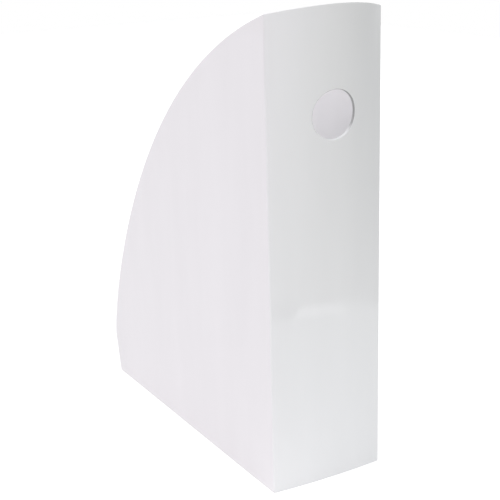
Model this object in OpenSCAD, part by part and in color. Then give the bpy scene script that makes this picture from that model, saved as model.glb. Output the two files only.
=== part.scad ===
// Magazine file: a tall, slim open box that holds magazines upright.
// Five moulded panels: a bowed spine with a finger hole, two flat sides with
// a curved cutaway, a floor and a low leaning lip at the open end. The sides
// press onto the other three panels along X: snap lugs on the spine's rails,
// tabs on the floor and tongues on the lip go into pockets in the sides.
// X runs across the file, the spine faces -Y, the open end faces +Y, +Z is up.
// The origin is the centre of the footprint, on the surface it stands on.

/* [Overall size] */
// Outside width across the two sides
width = 82; // [76:1:110]
// Height of the corners where the sides meet the spine
corner_h = 302; // [290:1:320]
// Wall thickness of every panel
wall = 2.2; // [2:0.1:2.6]

/* [Spine] */
// How far the spine bows out at the foot
bow_foot = 1.6; // [0.5:0.1:4]
// How much more it bows out at corner height
bow_head = 14.5; // [6:0.5:16]
// Fall of the top edge towards the open end, per millimetre
head_slope = 0.28; // [0.24:0.01:0.3]
// Diameter of the round finger hole
hole_d = 30; // [20:0.5:40]
// Height of the finger hole's centre
hole_z = 242; // [225:0.5:250]

/* [Cutaway] */
// Depth of the floor from the corner line to the lip's foot
foot_y = 241.6; // [238:0.2:244]
// Depth at the top of the lip
lip_y = 247.3; // [246:0.1:250]
// Height of the top of the lip
lip_z = 31; // [26:1:40]
// Distance over which the cutaway leaves the corner
head_pull = 178; // [150:1:190]
// Height over which the cutaway runs down into the lip
lip_pull = 39; // [25:1:55]

/* [Floor] */
// Height of the hollow under the middle of the floor
floor_rise = 0.8; // [0.5:0.1:1]
// Width of the flat land around that hollow
land = 8; // [6:0.5:12]

/* [Joints between the panels] */
// Depth of the rails behind the spine's corners
rail = 7; // [6:0.5:10]
// Height of a snap lug or tab above its face
lug = 1.2; // [1:0.1:1.3]
// Clearance around a lug or tab in its pocket
slack = 0.1; // [0.05:0.05:0.15]

/* [Hidden] */

hw = width / 2;                 // half the outside width
iw = hw - wall;                 // half the inside width
post_y = 3;                     // depth of the spine's own corners
rail_y = post_y + rail;
rail_x = iw - 2;                // inner face of a rail
across = 26;                    // spans across the spine
up = 15;                        // spans up the spine
white = [0.93, 0.925, 0.935];

// Bow of the spine at height z, and its outer and inner faces.
function bow(z) = bow_foot + bow_head * pow(z / corner_h, 2);
function outer_y(x, z) = -bow(z) * (1 - pow(x / hw, 2));
function inner_y(x, z) = outer_y(x, z) + wall * sqrt(1 + pow(2 * bow(z) * x / (hw * hw), 2));

// Height at which the sloping top edge cuts the outer (k = 0) or inner face.
function head_z(x, k, z, n) =
    n == 0 ? z : head_z(x, k, corner_h - head_slope * (k == 0 ? outer_y(x, z) : inner_y(x, z)), n - 1);
function head(x, k) = head_z(x, k, corner_h, 12);

// The whole depth centres the footprint on the origin.
bow_max = -outer_y(0, head(0, 0));
shift = (bow_max - lip_y) / 2;

// Cutaway curve: a cubic from the spine's corner post to the top of the lip.
head_pt = [post_y, corner_h - head_slope * post_y];
head_arm = head_pt + head_pull * [1, -0.3];
lip_pt = [lip_y, lip_z];
lip_arm = lip_pt + lip_pull * [-0.065, 1];
function cubic(t) = pow(1 - t, 3) * head_pt + 3 * pow(1 - t, 2) * t * head_arm
                  + 3 * (1 - t) * t * t * lip_arm + pow(t, 3) * lip_pt;
cutaway = [for (i = [0:72]) cubic(i / 72)];

// The lip leans out: its slope, and the inner face of its wall.
lean = (lip_y - foot_y) / lip_z;
lip_w = wall * sqrt(1 + lean * lean);
function lip_out(z) = foot_y + lean * z;
function lip_in(z) = lip_out(z) - lip_w;
floor_z = wall + floor_rise;
floor_end = lip_in(0) - 0.05;

// Snap lugs up each rail, and tabs around the floor.
lug_z = [24, 98, 172, 262];
lug_len = 14;
side_tab_y = [34, 82, 130, 178, 222];
end_tab_x = [-24, 0, 24];
tab_len = 14;
tab_z = floor_rise + 0.5;
tab_t = 1.2;

// An outline in the YZ plane, given thickness along +X from x.
module slab(x, t, outline) {
    translate([x, 0, 0]) rotate([90, 0, 90]) linear_extrude(t) polygon(outline);
}

// A flat bar with ends cut at a slant, which leads it into its pocket.
module snap_lug(z) {
    translate([iw, post_y + 1.5, z - lug_len / 2])
        linear_extrude(lug_len) polygon([[-0.5, 0], [0, 0], [lug, 0.5], [lug, 3.5], [0, 4], [-0.5, 4]]);
}

// The bowed wall: rings of points, one ring for each height.
function ring(v) = concat(
    [for (i = [0:across]) let (x = hw * (2 * i / across - 1), z = v * head(x, 0)) [x, outer_y(x, z), z]],
    [[hw, post_y, v * head_pt[1]], [iw, post_y, v * head_pt[1]]],
    [for (i = [0:across - 2]) let (x = iw * (1 - 2 * i / (across - 2)), z = v * head(x, 1)) [x, inner_y(x, z), z]],
    [[-iw, post_y, v * head_pt[1]], [-hw, post_y, v * head_pt[1]]]);

// A ring runs outer face, corner post, inner face, corner post; the two ends
// are closed by triangles between the outer and the inner face.
module bowed_wall() {
    n = 2 * across + 4;
    ends = concat(
        [for (i = [1:across - 2]) each [[i, i + 1, n - 3 - i], [i, n - 3 - i, n - 2 - i]]],
        [[0, 1, n - 3], [0, n - 3, n - 2], [0, n - 2, n - 1],
         [across - 1, across, across + 3], [across, across + 1, across + 2], [across, across + 2, across + 3]]);
    polyhedron(
        points = [for (j = [0:up]) each ring(j / up)],
        faces = concat(
            ends,
            [for (j = [0:up - 1], i = [0:n - 1]) let (k = (i + 1) % n) [j * n + i, (j + 1) * n + i, (j + 1) * n + k]],
            [for (j = [0:up - 1], i = [0:n - 1]) let (k = (i + 1) % n) [j * n + i, (j + 1) * n + k, j * n + k]],
            [for (f = ends) [up * n + f[2], up * n + f[1], up * n + f[0]]]),
        convexity = 6);
}

// Rail behind one corner; its front edge lies inside the bowed wall.
module corner_rail() {
    top = corner_h - 10;
    slab(rail_x, iw - rail_x, concat(
        [for (j = [0:10]) let (z = top * j / 10) [outer_y(iw, z) + 0.4, z]],
        [[post_y + 1, top], [rail_y, top - 12], [rail_y, 0]]));
    for (z = lug_z) snap_lug(z);
}

module spine_panel() color(white) translate([0, shift, 0]) difference() {
    union() {
        bowed_wall();
        corner_rail();
        mirror([1, 0, 0]) corner_rail();
    }
    translate([0, -bow_max - 5, hole_z]) rotate([-90, 0, 0]) cylinder(h = bow_max + 20, d = hole_d, $fn = 96);
    for (x = end_tab_x)
        translate([x - tab_len / 2 - slack, inner_y(x, 0) - lug - slack, tab_z - slack])
            cube([tab_len + 2 * slack, 6, tab_t + 2 * slack]);
}

// Side panel at +X: flat, with the cutaway outline and blind pockets inside.
module side() {
    difference() {
        slab(iw, wall, concat([[foot_y, 0], [post_y, 0]], cutaway));
        for (z = lug_z)
            translate([iw - 1, post_y + 1.5 - slack, z - lug_len / 2 - slack])
                cube([1 + lug + slack, 4 + 2 * slack, lug_len + 2 * slack]);
        for (y = side_tab_y)
            translate([iw - 1, y - tab_len / 2 - slack, tab_z - slack])
                cube([1 + lug + slack, tab_len + 2 * slack, tab_t + 2 * slack]);
        slab(iw - 1, 1 + lug + slack, tongue(slack));
    }
}
module right_side_panel() color(white) translate([0, shift, 0]) side();
module left_side_panel() color(white) translate([0, shift, 0]) mirror([1, 0, 0]) side();

// Floor: a plate with a raised hollow underneath, and tabs on all four edges.
module base_panel() color(white) translate([0, shift, 0]) difference() {
    union() {
        linear_extrude(floor_z) polygon(concat(
            [for (i = [0:across - 2]) let (x = (rail_x - 0.05) * (2 * i / (across - 2) - 1)) [x, inner_y(x, 0) + 0.05]],
            [[rail_x - 0.05, rail_y + 0.05], [iw, rail_y + 0.05], [iw, floor_end],
             [-iw, floor_end], [-iw, rail_y + 0.05], [-rail_x + 0.05, rail_y + 0.05]]));
        for (y = side_tab_y)
            translate([-iw - lug, y - tab_len / 2, tab_z]) cube([2 * (iw + lug), tab_len, tab_t]);
        for (x = end_tab_x)
            translate([x - tab_len / 2, inner_y(x, 0) - lug, tab_z]) cube([tab_len, floor_end + lug - inner_y(x, 0) + lug, tab_t]);
    }
    translate([-iw + land, rail_y + land, -1]) cube([2 * (iw - land), floor_end - rail_y - 2 * land, 1 + floor_rise]);
}

// Tongue on each end of the lip; more is the clearance added all round.
function tongue(more) = let (a = 5 - more, b = 26 + more, m = (lip_w - tab_t) / 2 - more)
    [[lip_in(a) + m, a], [lip_out(a) - m, a], [lip_out(b) - m, b], [lip_in(b) + m, b]];

// Lip: a low wall that leans out, standing on its own foot.
module front_lip() color(white) translate([0, shift, 0]) difference() {
    union() {
        slab(-iw, 2 * iw, [[lip_in(0), 0], [lip_out(0), 0], [lip_out(lip_z), lip_z],
                           [lip_in(lip_z), lip_z], [lip_in(floor_z), floor_z], [lip_in(0), floor_z]]);
        slab(-iw - lug, 2 * (iw + lug), tongue(0));
    }
    for (x = end_tab_x)
        translate([x - tab_len / 2 - slack, floor_end - 4, tab_z - slack])
            cube([tab_len + 2 * slack, 4 + lug + slack, tab_t + 2 * slack]);
}

spine_panel();
left_side_panel();
right_side_panel();
base_panel();
front_lip();
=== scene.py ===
import math
import bpy
import bmesh
from mathutils import Matrix, Vector


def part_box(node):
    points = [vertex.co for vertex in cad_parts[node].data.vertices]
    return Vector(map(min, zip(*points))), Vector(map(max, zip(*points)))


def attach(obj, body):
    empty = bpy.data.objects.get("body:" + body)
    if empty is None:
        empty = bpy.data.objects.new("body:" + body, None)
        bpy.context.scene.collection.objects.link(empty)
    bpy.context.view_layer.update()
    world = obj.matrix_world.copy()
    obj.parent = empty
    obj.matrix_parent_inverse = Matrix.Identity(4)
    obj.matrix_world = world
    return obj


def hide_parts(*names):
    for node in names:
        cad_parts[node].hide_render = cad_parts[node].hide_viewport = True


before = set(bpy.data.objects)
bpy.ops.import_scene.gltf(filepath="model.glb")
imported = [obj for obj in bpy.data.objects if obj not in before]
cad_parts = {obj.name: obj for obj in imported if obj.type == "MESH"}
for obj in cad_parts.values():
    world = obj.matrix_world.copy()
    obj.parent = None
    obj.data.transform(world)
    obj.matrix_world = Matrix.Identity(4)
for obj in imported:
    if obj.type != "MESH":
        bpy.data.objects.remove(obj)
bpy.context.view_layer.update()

# Sizes in millimetres, in a frame whose Y = 0 is the line of the spine's corners. The walls' own
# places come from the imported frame.
side_lo, side_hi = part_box("right_side_panel")
POST = 3.0                                    # depth of the spine's own corners
SHIFT = side_lo.y * 1000 - POST               # from this frame to the row frame
HW = side_hi.x * 1000                         # half the outside width
IW = side_lo.x * 1000                         # half the inside width
WALL = HW - IW
H = 302.0
BOW_FOOT, BOW_HEAD, SLOPE = 1.6, 14.5, 0.28
HOLE_R, HOLE_Z = 15.0, 242.0
RIM = {"o": 0.6, "i": 0.3}                     # rounding of the finger hole's edge, outside and inside
FOOT_Y, LIP_Y, LIP_Z = 241.6, 247.3, 31.0
FLOOR_Z = 3.0
RAIL_Y, RAIL_X, RAIL_TOP, RAIL_FALL = 10.0, 36.8, 292.0, 12.0


def bow(z):
    return BOW_FOOT + BOW_HEAD * (z / H) ** 2


def outer_y(x, z):
    return -bow(z) * (1 - (x / HW) ** 2)


def inner_y(x, z):
    return outer_y(x, z) + WALL * math.sqrt(1 + (2 * bow(z) * x / (HW * HW)) ** 2)


def head(x, face):
    z = H
    for _ in range(14):
        z = H - SLOPE * face(x, z)
    return z


def row(p):
    """A point of this frame, in metres in the row frame."""
    return Vector((p[0] / 1000, (p[1] + SHIFT) / 1000, p[2] / 1000))


class Builder:
    """Collects vertices by key, faces, and the width in mm that each edge is rounded by."""

    def __init__(self):
        self.bm = bmesh.new()
        self.at = {}
        self.round = {}

    def v(self, key, p=None):
        if key not in self.at:
            self.at[key] = self.bm.verts.new(row(p))
        return self.at[key]

    def face(self, *keys, slot=0):
        vs = [self.at[k] for k in keys]
        self.bm.faces.new(vs).material_index = slot

    def edge(self, a, b, width):
        self.round[(a, b)] = width

    def finish(self, name, sharp_deg=32):
        bm = self.bm
        bmesh.ops.recalc_face_normals(bm, faces=bm.faces)
        weight = bm.edges.layers.float.new("bevel_weight_edge")
        for f in bm.faces:
            f.smooth = True
        widest = max(self.round.values())
        rounded = set()
        for (a, b), w in self.round.items():
            e = bm.edges.get((self.at[a], self.at[b]))
            if e is None:
                raise RuntimeError(f"{name}: no edge {a} {b}")
            e[weight] = w / widest
            rounded.add(e)
        for e in bm.edges:
            if e not in rounded and len(e.link_faces) == 2 and e.calc_face_angle() > math.radians(sharp_deg):
                e.smooth = False
        mesh = bpy.data.meshes.new(name)
        bm.to_mesh(mesh)
        bm.free()
        o = bpy.data.objects.new(name, mesh)
        bpy.context.scene.collection.objects.link(o)
        m = o.modifiers.new("edges", "BEVEL")
        m.limit_method = "WEIGHT"
        m.offset_type = "OFFSET"
        m.width = widest / 1000
        m.segments = 5
        m.profile = 0.5
        m.use_clamp_overlap = False
        m.miter_outer = "MITER_SHARP"
        m.harden_normals = False
        w = o.modifiers.new("normals", "WEIGHTED_NORMAL")
        w.keep_sharp = True
        w.weight = 100
        return o


# The spine: a wall bowed both ways, on a net of columns and rows that turns into rings around the
# finger hole, with corner posts and a rail behind each corner.
def build_spine():
    b = Builder()
    patch, n, nr, nf = 24.0, 28, 5, 6         # half size of the patch round the hole, its spans a side, its rings, the rim's steps
    edge_cols = [24.0, 26.9, 29.8, 32.6, 35.2, 37.6, 39.6, HW]
    in_cols = [24.0, 26.6, 29.2, 31.8, 34.3, RAIL_X, 37.9, IW]
    mid = [patch * (2 * i / n - 1) for i in range(n + 1)]
    cols_o = [-x for x in reversed(edge_cols)][:-1] + mid + edge_cols[1:]
    cols_i = [-x for x in reversed(in_cols)][:-1] + mid + in_cols[1:]
    nc, c0 = len(cols_o), len(edge_cols) - 1  # c0 is the patch's first column
    c1 = c0 + n
    nb, na = 52, 14                           # rows under and over the patch
    r0, r1 = nb, nb + n
    rows = nb + n + na
    z0, z1 = HOLE_Z - patch, HOLE_Z + patch

    def z_at(j, top):
        if j <= r0:
            return z0 * j / nb
        if j <= r1:
            return z0 + 2 * patch * (j - r0) / n
        t = (j - r1) / na
        return z1 + (top - z1) * t

    post_top = H - SLOPE * POST
    jr = next(j for j in range(rows + 1) if z_at(j, post_top) >= RAIL_TOP)
    heads = {k: [head(x, f) for x in cols] for k, cols, f in (("o", cols_o, outer_y), ("i", cols_i, inner_y))}
    for k, cols, f in (("o", cols_o, outer_y), ("i", cols_i, inner_y)):
        for j in range(rows + 1):
            for i, x in enumerate(cols):
                if r0 < j < r1 and c0 < i < c1:
                    continue
                if k == "i" and 0 < j < jr and i in (0, 1, nc - 1, nc - 2):
                    continue                  # behind the rail
                z = z_at(j, heads[k][i])
                b.v((k, i, j), (x, f(x, z), z))
        # rings round the hole, from the rim out to the patch's edge
        loop = ([(i, r0) for i in range(c0, c1)] + [(c1, j) for j in range(r0, r1)]
                + [(i, r1) for i in range(c1, c0, -1)] + [(c0, j) for j in range(r1, r0, -1)])
        for s, (i, j) in enumerate(loop):
            a = math.radians(-135 + 360 * s / len(loop))
            px, pz = cols[i], z_at(j, 0)
            start = HOLE_R + RIM[k]
            cx, cz = start * math.cos(a), HOLE_Z + start * math.sin(a)
            b.at[(k, "ring", s, nr)] = b.at[(k, i, j)]
            for r in range(nr):
                t = r / nr
                x, z = cx + (px - cx) * t, cz + (pz - cz) * t
                b.v((k, "ring", s, r), (x, f(x, z), z))
            # the rim turns from the face into the hole
            for q in range(1, nf + 1):
                turn = math.radians(90 * q / nf)
                rad = HOLE_R + RIM[k] * (1 - math.sin(turn))
                x, z = rad * math.cos(a), HOLE_Z + rad * math.sin(a)
                into = RIM[k] * (1 - math.cos(turn))
                b.v((k, "ring", s, -q), (x, f(x, z) + (into if k == "o" else -into), z))
        m = len(loop)
        for s in range(m):
            for r in range(-nf, nr):
                # slot 1, the inner part of the rim, takes the material with painted shade
                b.face((k, "ring", s, r), (k, "ring", s, r + 1), (k, "ring", (s + 1) % m, r + 1), (k, "ring", (s + 1) % m, r),
                       slot=1 if r < -2 else 0)
    # the hole's wall, slot 1, with painted shade
    for s in range(m):
        t = (s + 1) % m
        b.face(("o", "ring", s, -nf), ("o", "ring", t, -nf), ("i", "ring", t, -nf), ("i", "ring", s, -nf), slot=1)

    # posts and rails
    for sd, last, near in ((1, nc - 1, nc - 2), (-1, 0, 1)):
        # the wall's inner columns behind the rail, x = RAIL_X, are the rail's own inner face
        rail_col = nc - 3 if sd > 0 else 2
        for j in range(rows + 1):
            z = z_at(j, post_top)
            b.v(("P", sd, j), (sd * HW, POST, z))
            b.v(("C", sd, j), (sd * IW, POST, z))
            if j <= jr:
                zr = z * (RAIL_TOP - RAIL_FALL) / z_at(jr, post_top)
                b.v(("R", sd, j), (sd * IW, RAIL_Y, zr))
                b.v(("Q", sd, j), (sd * RAIL_X, RAIL_Y, zr))
        for j in range(rows):
            o0, o1 = ("o", last, j), ("o", last, j + 1)
            b.face(o0, ("P", sd, j), ("P", sd, j + 1), o1)
            b.face(("P", sd, j), ("C", sd, j), ("C", sd, j + 1), ("P", sd, j + 1))
            b.edge(o0, o1, 1.1 if sd < 0 else 0.35)
            if j < jr:
                b.face(("C", sd, j), ("R", sd, j), ("R", sd, j + 1), ("C", sd, j + 1))
                b.face(("R", sd, j), ("Q", sd, j), ("Q", sd, j + 1), ("R", sd, j + 1))
                b.face(("Q", sd, j), ("i", rail_col, j), ("i", rail_col, j + 1), ("Q", sd, j + 1))
                b.edge(("Q", sd, j), ("Q", sd, j + 1), 0.4)
            else:
                b.face(("i", last, j), ("C", sd, j), ("C", sd, j + 1), ("i", last, j + 1))
        # the rail's slanted top, then the foot and the head of the post
        b.face(("i", rail_col, jr), ("i", near, jr), ("i", last, jr), ("C", sd, jr))
        b.face(("i", rail_col, jr), ("C", sd, jr), ("R", sd, jr), ("Q", sd, jr))
        b.face(("i", rail_col, 0), ("i", near, 0), ("i", last, 0), ("C", sd, 0), ("R", sd, 0), ("Q", sd, 0))
        for j in (0, rows):
            b.face(("o", last, j), ("P", sd, j), ("C", sd, j), ("i", last, j))
        b.edge(("o", last, rows), ("P", sd, rows), 0.4)
        b.edge(("i", last, rows), ("C", sd, rows), 0.4)
        b.edge(("o", last, 0), ("P", sd, 0), 0.5)
    for i in range(nc - 1):
        for j in (0, rows):
            b.face(("o", i, j), ("o", i + 1, j), ("i", i + 1, j), ("i", i, j))
        b.edge(("o", i, rows), ("o", i + 1, rows), 0.4)
        b.edge(("i", i, rows), ("i", i + 1, rows), 0.4)
        b.edge(("o", i, 0), ("o", i + 1, 0), 0.5)
        for j in range(rows):
            if r0 <= j < r1 and c0 <= i < c1:
                continue
            b.face(("o", i, j), ("o", i + 1, j), ("o", i + 1, j + 1), ("o", i, j + 1))
            if j < jr and (i < 2 or i > nc - 4):
                continue
            b.face(("i", i, j), ("i", i + 1, j), ("i", i + 1, j + 1), ("i", i, j + 1))
    return b.finish("spine_moulding")


def cubic(t):
    p0 = Vector((POST, H - SLOPE * POST))
    p1 = p0 + 178 * Vector((1, -0.3))
    p3 = Vector((LIP_Y, LIP_Z))
    p2 = p3 + 39 * Vector((-0.065, 1))
    return (1 - t) ** 3 * p0 + 3 * (1 - t) ** 2 * t * p1 + 3 * (1 - t) * t * t * p2 + t ** 3 * p3


def build_side(sd, name):
    """A flat wall with the curved cutaway: its two faces, and the narrow edge between them."""
    b = Builder()
    n = 140
    outline = [Vector((FOOT_Y, 0)), Vector((POST, 0))] + [cubic(i / n) for i in range(n + 1)]
    m = len(outline)
    for k, x in (("o", HW), ("i", IW)):
        for i, p in enumerate(outline):
            b.v((k, i), (sd * x, p.x, p.y))
        b.face(*[(k, i) for i in range(m)])
    for i in range(m):
        j = (i + 1) % m
        b.face(("o", i), ("o", j), ("i", j), ("i", i))
        if i == 0:                            # along the ground
            b.edge(("o", i), ("o", j), 0.5)
        elif i >= 2:                          # the cutaway, and the slanted edge beside the lip
            b.edge(("o", i), ("o", j), 0.4)
            if i < m - 1:
                b.edge(("i", i), ("i", j), 0.4)
    o = b.finish(name, 40)
    return o


def build_lip():
    """The low wall that leans out, between the two sides."""
    b = Builder()
    lean = (LIP_Y - FOOT_Y) / LIP_Z
    w = WALL * math.sqrt(1 + lean * lean)
    out = lambda z: FOOT_Y + lean * z
    profile = [(out(0) - w, 0), (out(0), 0), (out(LIP_Z), LIP_Z), (out(LIP_Z) - w, LIP_Z),
               (out(FLOOR_Z) - w, FLOOR_Z), (out(0) - w, FLOOR_Z)]
    cols = [IW * (2 * i / 12 - 1) for i in range(13)]
    for i, x in enumerate(cols):
        for j, p in enumerate(profile):
            b.v((i, j), (x, *p))
    m = len(profile)
    b.face(*[(0, j) for j in range(m)])
    b.face(*[(12, j) for j in range(m)])
    for i in range(12):
        for j in range(m):
            b.face((i, j), (i + 1, j), (i + 1, (j + 1) % m), (i, (j + 1) % m))
        b.edge((i, 1), (i + 1, 1), 0.5)
        b.edge((i, 2), (i + 1, 2), 0.4)
        b.edge((i, 3), (i + 1, 3), 0.4)
    return b.finish("lip_moulding")


spine = build_spine()
left = build_side(-1, "left_side_moulding")
right = build_side(1, "right_side_moulding")
lip = build_lip()
for piece, node in ((spine, "spine_panel"), (left, "left_side_panel"), (right, "right_side_panel"), (lip, "front_lip")):
    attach(piece, "root")
    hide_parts(node)


# Moulded polystyrene: glossy, with the faint waviness of a tool-polished wall.
def plastic(name, tint=(0.88, 0.873, 0.882), rough=0.06, hole=None):
    m = bpy.data.materials.new(name)
    m.use_nodes = True
    t = m.node_tree
    bsdf = t.nodes["Principled BSDF"]
    bsdf.inputs["IOR"].default_value = 1.55
    bsdf.inputs["Specular IOR Level"].default_value = 0.5
    tex = t.nodes.new("ShaderNodeTexCoord")

    def noise(scale, detail, roughness=0.5, stretch=None):
        n = t.nodes.new("ShaderNodeTexNoise")
        n.inputs["Scale"].default_value = scale
        n.inputs["Detail"].default_value = detail
        n.inputs["Roughness"].default_value = roughness
        source = tex.outputs["Object"]
        if stretch:
            mp = t.nodes.new("ShaderNodeMapping")
            mp.inputs["Scale"].default_value = stretch
            t.links.new(source, mp.inputs["Vector"])
            source = mp.outputs["Vector"]
        t.links.new(source, n.inputs["Vector"])
        return n.outputs["Fac"]

    def ramp(fac, a, b, lo, hi):
        r = t.nodes.new("ShaderNodeMapRange")
        r.inputs["From Min"].default_value = a
        r.inputs["From Max"].default_value = b
        r.inputs["To Min"].default_value = lo
        r.inputs["To Max"].default_value = hi
        t.links.new(fac, r.inputs["Value"])
        return r.outputs["Result"]

    # colour: a little uneven, as pigment is where the melt has flowed
    flow = noise(1.0, 3, 0.55, (38, 38, 7))
    mix = t.nodes.new("ShaderNodeMix")
    mix.data_type = "RGBA"
    mix.inputs["A"].default_value = (tint[0] * 0.985, tint[1] * 0.985, tint[2] * 0.985, 1)
    mix.inputs["B"].default_value = (tint[0] * 1.012, tint[1] * 1.012, tint[2] * 1.012, 1)
    t.links.new(ramp(flow, 0.3, 0.7, 0, 1), mix.inputs["Factor"])
    colour = mix.outputs["Result"]
    # painted shade: the hole's wall is mixed towards grey from below the hole's middle up to its top
    if hole:                                  # the finger hole's wall: rougher and greyer towards its top
        low, high, hole_shade_grey = hole
        z = t.nodes.new("ShaderNodeSeparateXYZ")
        t.links.new(tex.outputs["Object"], z.inputs["Vector"])
        shade = t.nodes.new("ShaderNodeMix")
        shade.data_type = "RGBA"
        shade.inputs["B"].default_value = (*hole_shade_grey, 1)
        t.links.new(ramp(z.outputs["Z"], low / 1000, high / 1000, 0, 1), shade.inputs["Factor"])
        t.links.new(colour, shade.inputs["A"])
        colour = shade.outputs["Result"]
    t.links.new(colour, bsdf.inputs["Base Color"])
    # gloss: handled patches are slightly duller
    cloud = noise(26, 4, 0.6)
    t.links.new(ramp(cloud, 0.3, 0.75, rough - 0.02, rough + 0.03), bsdf.inputs["Roughness"])
    # surface: long shallow waves with a very fine skin
    waves = noise(42, 2, 0.4)
    skin = noise(1500, 2, 0.5)
    b1 = t.nodes.new("ShaderNodeBump")
    b1.inputs["Strength"].default_value = 0.35
    b1.inputs["Distance"].default_value = 0.00012
    t.links.new(waves, b1.inputs["Height"])
    b2 = t.nodes.new("ShaderNodeBump")
    b2.inputs["Strength"].default_value = 0.03
    b2.inputs["Distance"].default_value = 0.00001
    t.links.new(skin, b2.inputs["Height"])
    t.links.new(b1.outputs["Normal"], b2.inputs["Normal"])
    t.links.new(b2.outputs["Normal"], bsdf.inputs["Normal"])
    return m


white = plastic("gloss_white_plastic")
spine.data.materials.append(white)
# the finger hole's wall: rougher, with painted shade that greys it from below the hole's middle to its top
spine.data.materials.append(plastic("hole_wall_painted_shade", rough=0.38, hole=(HOLE_Z - 12.5, HOLE_Z - 6.5, (0.45, 0.445, 0.45))))
for o in (left, right, lip, *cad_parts.values()):
    o.data.materials.clear()
    o.data.materials.append(white)


# Stage: a pale table that ends in front of the spine, soft light, and a white surround. The spine
# reflects the table's edge, the brighter strip along it and a dark card beyond it.
def stage_mesh(name, points, faces, colour, rough=0.6, glow=0.0, seen=0.0, pool=None):
    """seen: what the camera sees on top of the glow that lights the object. pool: a pool of light
    on the table (centre, radius, strength)."""
    mesh = bpy.data.meshes.new(name)
    mesh.from_pydata([row(p) for p in points], [], faces)
    o = bpy.data.objects.new(name, mesh)
    bpy.context.scene.collection.objects.link(o)
    m = bpy.data.materials.new(name)
    m.use_nodes = True
    t = m.node_tree
    s = t.nodes["Principled BSDF"]
    s.inputs["Base Color"].default_value = (*colour, 1)
    s.inputs["Roughness"].default_value = rough
    s.inputs["Specular IOR Level"].default_value = 0.2
    s.inputs["Emission Color"].default_value = (1, 1, 1, 1)
    s.inputs["Emission Strength"].default_value = glow
    if pool:
        centre, radius, strength = pool
        far = t.nodes.new("ShaderNodeVectorMath")
        far.operation = "DISTANCE"
        far.inputs[1].default_value = row((*centre, 0))
        t.links.new(t.nodes.new("ShaderNodeTexCoord").outputs["Object"], far.inputs[0])
        fall = t.nodes.new("ShaderNodeMapRange")
        fall.interpolation_type = "SMOOTHERSTEP"
        fall.inputs["From Min"].default_value = 0
        fall.inputs["From Max"].default_value = radius / 1000
        fall.inputs["To Min"].default_value = glow + strength
        fall.inputs["To Max"].default_value = glow
        t.links.new(far.outputs["Value"], fall.inputs["Value"])
    if seen:
        path = t.nodes.new("ShaderNodeLightPath")
        add = t.nodes.new("ShaderNodeMath")
        add.name = "table_glow"
        add.operation = "MULTIPLY_ADD"
        add.inputs[1].default_value = seen
        add.inputs[2].default_value = glow
        t.links.new(path.outputs["Is Camera Ray"], add.inputs[0])
        if pool:
            t.links.new(fall.outputs["Result"], add.inputs[2])
        t.links.new(add.outputs[0], s.inputs["Emission Strength"])
    o.data.materials.append(m)
    return o


GLOW = 0.38
E0, E1 = (-1500, -308 - 0.47 * 1511), (1800, -182 + 0.47 * 1527)
edge = [E0, (11, -308), (62, -265), (85, -274), (273, -182), E1]
table = [(x, y, 0) for x, y in edge + [(1800, 3000), (-1500, 3000)]]
stage_mesh("table_top", table, [tuple(range(len(table)))], (0.40, 0.40, 0.40), glow=GLOW, seen=0.33, pool=((-48, -48), 95, 0.26))
stage_mesh("table_edge", [(62, -265, 0.2), (85, -274, 0.2), (197, -209, 0.2), (188, -198, 0.2), (87, -247, 0.2)], [(0, 1, 2, 3, 4)],
           (0.40, 0.40, 0.40), glow=GLOW + 0.6)
card = stage_mesh("dark_card", [(170, -1500, -428), (564, -1500, -558), (440, -1500, -640), (100, -1500, -560)], [(0, 1, 2, 3)], (0.03, 0.03, 0.03))
card.visible_camera = False

# The studio: an even surround with broad soft lobes of light, (direction, width, colour). The camera
# sees plain white behind the table.
EVEN = (0.00, 0.01, 0.00)
LOBES = [
    ((0.0, -0.4, 0.9), 6, (0.42, 0.42, 0.48)),
    ((0.0, -0.75, 0.65), 5, (1.19, 1.20, 1.20)),
    ((-0.7, -0.6, -0.3), 6, (0.70, 0.69, 0.70)),
    ((-0.7, 0.1, 0.7), 5, (1.19, 1.08, 1.20)),
    ((-0.8, 0.6, 0.2), 5, (0.16, 0.10, 0.10)),
    ((-0.5, 0.5, 0.7), 5, (0.99, 0.98, 1.02)),
    ((0.1, 0.7, 0.7), 5, (0.00, 0.06, 0.00)),
    ((0.1, -1.0, 0.1), 6, (0.64, 0.68, 0.66)),
    ((0.45, -0.8, -0.35), 8, (0.18, 0.14, 0.11)),
    ((1.0, -0.1, 0.2), 5, (0.38, 0.36, 0.39)),
    ((0.6, 0.0, 0.8), 5, (0.13, 0.20, 0.22)),
    ((0.7, 0.7, 0.2), 5, (1.20, 1.20, 1.20)),
    ((0.0, 1.0, 0.1), 5, (1.20, 1.20, 1.20)),
]
world = bpy.data.worlds.new("studio")
bpy.context.scene.world = world
world.use_nodes = True
wt = world.node_tree
bg = wt.nodes["Background"]
direction = wt.nodes.new("ShaderNodeTexCoord").outputs["Generated"]


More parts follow.
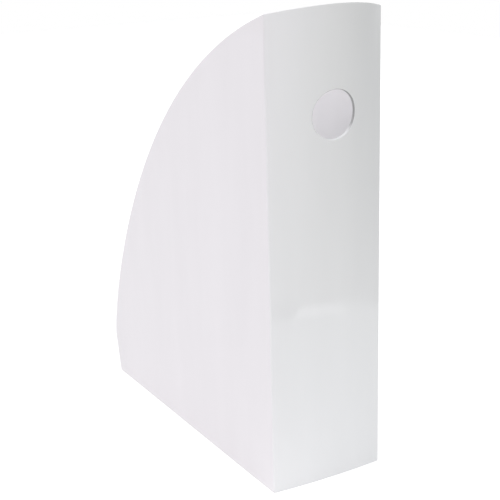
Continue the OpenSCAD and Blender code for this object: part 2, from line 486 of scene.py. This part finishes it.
def wmath(kind, a, b):
    n = wt.nodes.new("ShaderNodeVectorMath" if kind in ("DOT_PRODUCT", "SCALE", "ADD") else "ShaderNodeMath")
    n.operation = kind
    for socket, value in ((n.inputs[0], a), (n.inputs["Scale"] if kind == "SCALE" else n.inputs[1], b)):
        if isinstance(value, bpy.types.NodeSocket):
            wt.links.new(value, socket)
        else:
            socket.default_value = value
    return n.outputs["Value"] if kind == "DOT_PRODUCT" else n.outputs[0]


light = EVEN
for towards, width, colour in LOBES:
    d = wmath("DOT_PRODUCT", direction, Vector(towards).normalized())
    d = wmath("POWER", wmath("MAXIMUM", d, 0.0), width)
    light = wmath("ADD", wmath("SCALE", colour, d), light)
wt.links.new(light, bg.inputs["Color"])
out = wt.nodes["World Output"]
cam_bg = wt.nodes.new("ShaderNodeBackground")
cam_bg.inputs["Color"].default_value = (1, 1, 1, 1)
lp = wt.nodes.new("ShaderNodeLightPath")
mixw = wt.nodes.new("ShaderNodeMixShader")
wt.links.new(lp.outputs["Is Camera Ray"], mixw.inputs["Fac"])
wt.links.new(bg.outputs["Background"], mixw.inputs[1])
wt.links.new(cam_bg.outputs["Background"], mixw.inputs[2])
wt.links.new(mixw.outputs["Shader"], out.inputs["Surface"])

scene = bpy.context.scene
scene.view_settings.view_transform = "Standard"
scene.view_settings.look = "None"

# Camera: stands to the left of the spine, a little above the file, and looks down on it.
K = 82 / 82.79
yaw, pitch, roll = math.radians(29.71), math.radians(16.98), math.radians(1.61)
fwd = Vector((math.sin(yaw) * math.cos(pitch), math.cos(yaw) * math.cos(pitch), -math.sin(pitch)))
rt = Vector((math.cos(yaw), -math.sin(yaw), 0))
dn = fwd.cross(rt)
r2 = math.cos(roll) * rt + math.sin(roll) * dn
d2 = -math.sin(roll) * rt + math.cos(roll) * dn
cam = bpy.data.cameras.new("camera")
cam.sensor_width = 36
cam.lens = 1103.7 / 500 * 36
cam.clip_start, cam.clip_end = 0.01, 50
co = bpy.data.objects.new("camera", cam)
scene.collection.objects.link(co)
co.matrix_world = Matrix.Translation(row((-367 * K, -548 * K, 360 * K))) @ Matrix((
    (r2.x, -d2.x, -fwd.x), (r2.y, -d2.y, -fwd.y), (r2.z, -d2.z, -fwd.z))).to_4x4()
scene.camera = co
